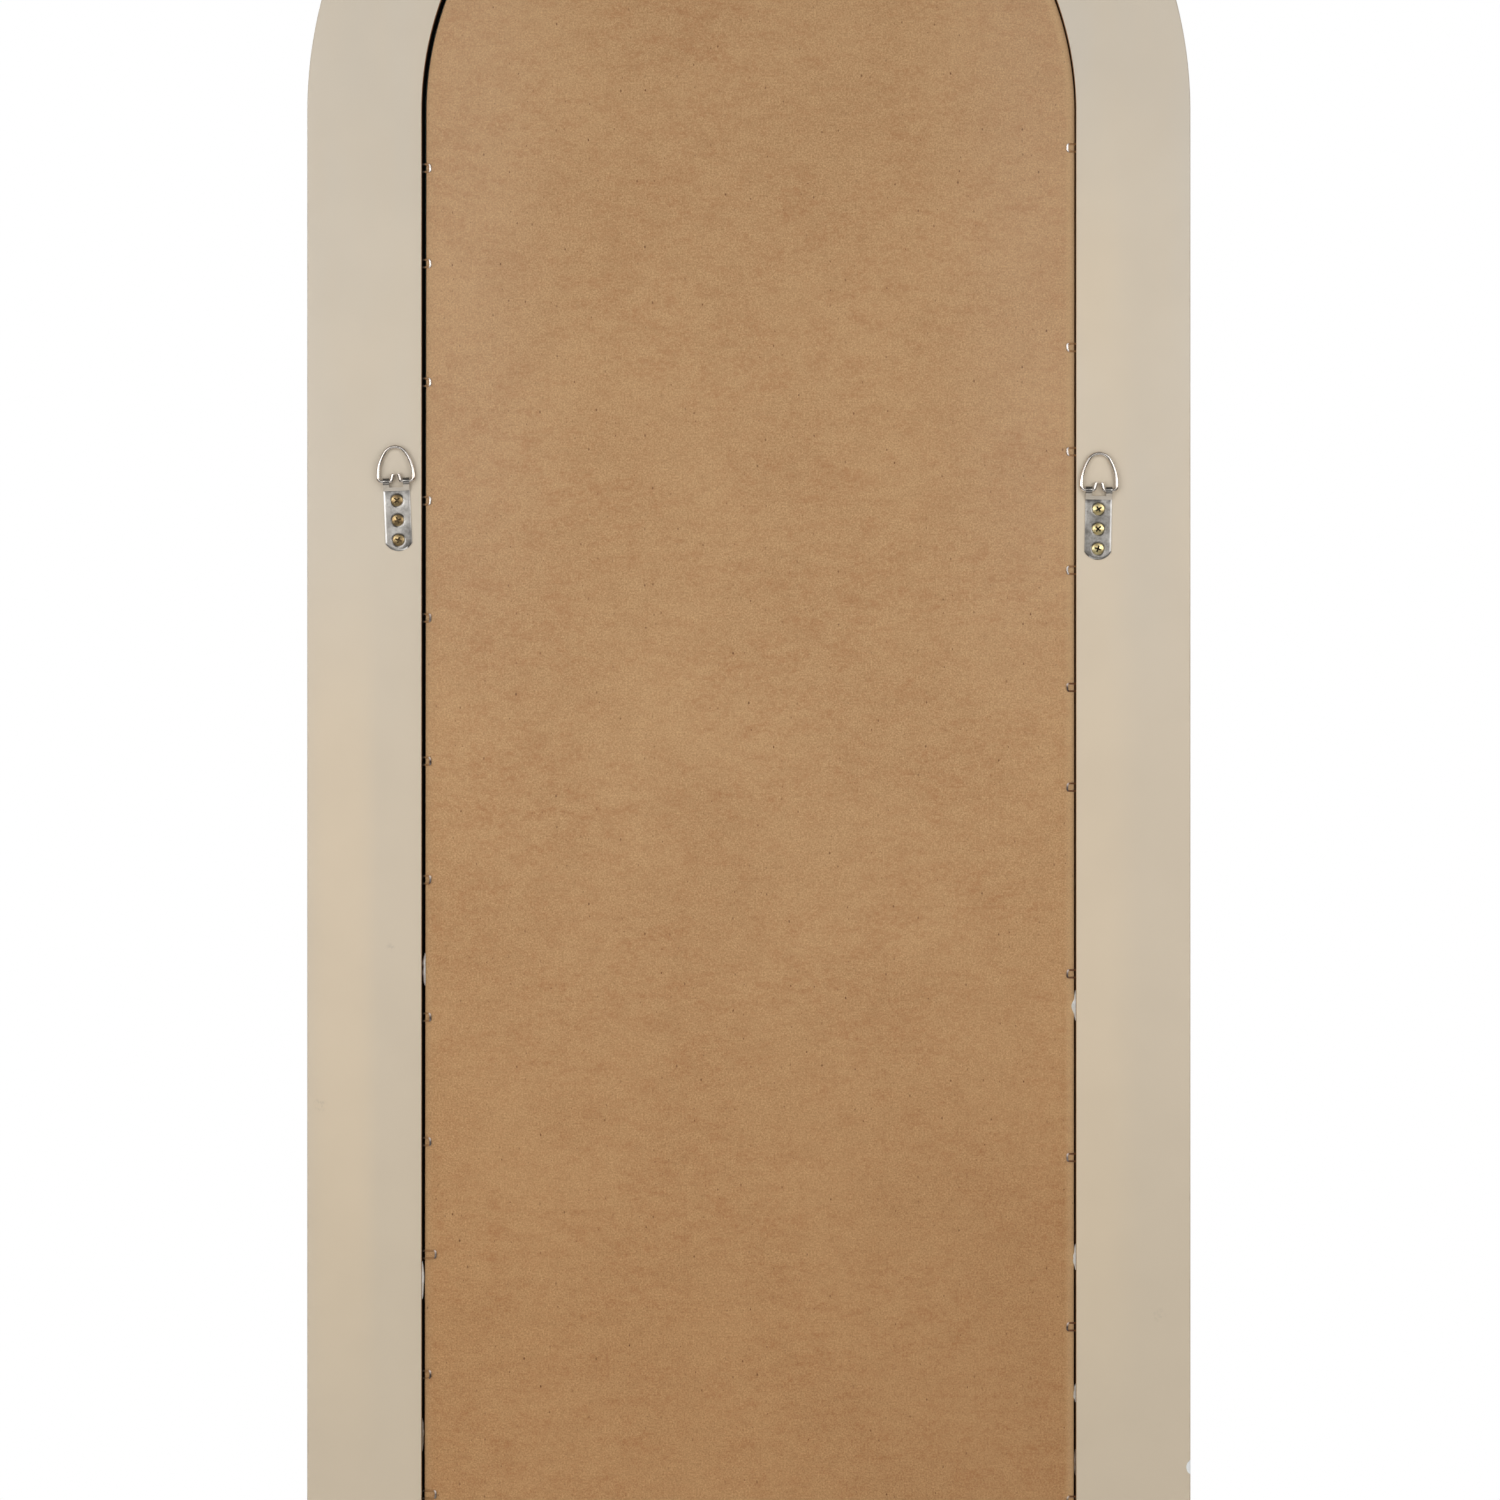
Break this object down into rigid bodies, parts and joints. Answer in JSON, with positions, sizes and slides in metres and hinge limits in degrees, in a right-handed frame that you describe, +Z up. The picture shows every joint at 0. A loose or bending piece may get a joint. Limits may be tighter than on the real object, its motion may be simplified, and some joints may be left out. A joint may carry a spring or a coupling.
{
  "type": "leaning floor mirror",
  "caption": "Tall arch-topped leaning floor mirror: painted moulded frame, silvered glass under a stapled backing board, and hinged D-ring strap hangers on the back.",
  "frame": {"origin": "on the floor, under the middle of the bottom edge, halfway through the frame's depth", "axes": "+Z up the mirror's height, +Y out of the back where the hangers are, +X to the right as seen from the glass side"},
  "size_m": [0.61, 0.0368, 1.6759],
  "materials": {
    "frame_paint": "cream paint on fibreboard, eggshell",
    "dowel_wood": "bare beech",
    "silvered_glass": "float glass, silvered on its back",
    "fibreboard": "bare fibreboard, smooth",
    "staple_wire": "galvanised wire",
    "glue": "dried glue, whitish",
    "zinc_strap": "zinc plate, dull",
    "yellow_zinc": "yellow zinc plate",
    "nickel_ring": "nickel plate, satin"
  },
  "bodies": {
    "mirror": {"left_stile": "frame_paint", "right_stile": "frame_paint", "arch_head": "frame_paint", "bottom_rail": "frame_paint", "spring_dowels": "dowel_wood", "corner_dowels": "dowel_wood", "mirror_glass": "silvered_glass", "backing_board": "fibreboard", "left_staples": "staple_wire", "right_staples": "staple_wire", "arch_staples": "staple_wire", "rail_staples": "staple_wire", "left_glue_dabs": "glue", "right_glue_dabs": "glue", "left_hanger_strap": "zinc_strap", "right_hanger_strap": "zinc_strap", "left_hanger_screws": "yellow_zinc", "right_hanger_screws": "yellow_zinc"},
    "left_ring": {"left_d_ring": "nickel_ring"},
    "right_ring": {"right_d_ring": "nickel_ring"}
  },
  "joints": [
    {"name": "left_ring_swing", "type": "hinge", "parent": "mirror", "child": "left_ring", "pos_m": [-0.2416, 0.0184, 1.109], "axis": [-0.9998, 0, -0.0175], "range_deg": [0, 140]},
    {"name": "right_ring_swing", "type": "hinge", "parent": "mirror", "child": "right_ring", "pos_m": [0.2434, 0.0184, 1.115], "axis": [-0.9991, 0, 0.0419], "range_deg": [0, 140]}
  ]
}
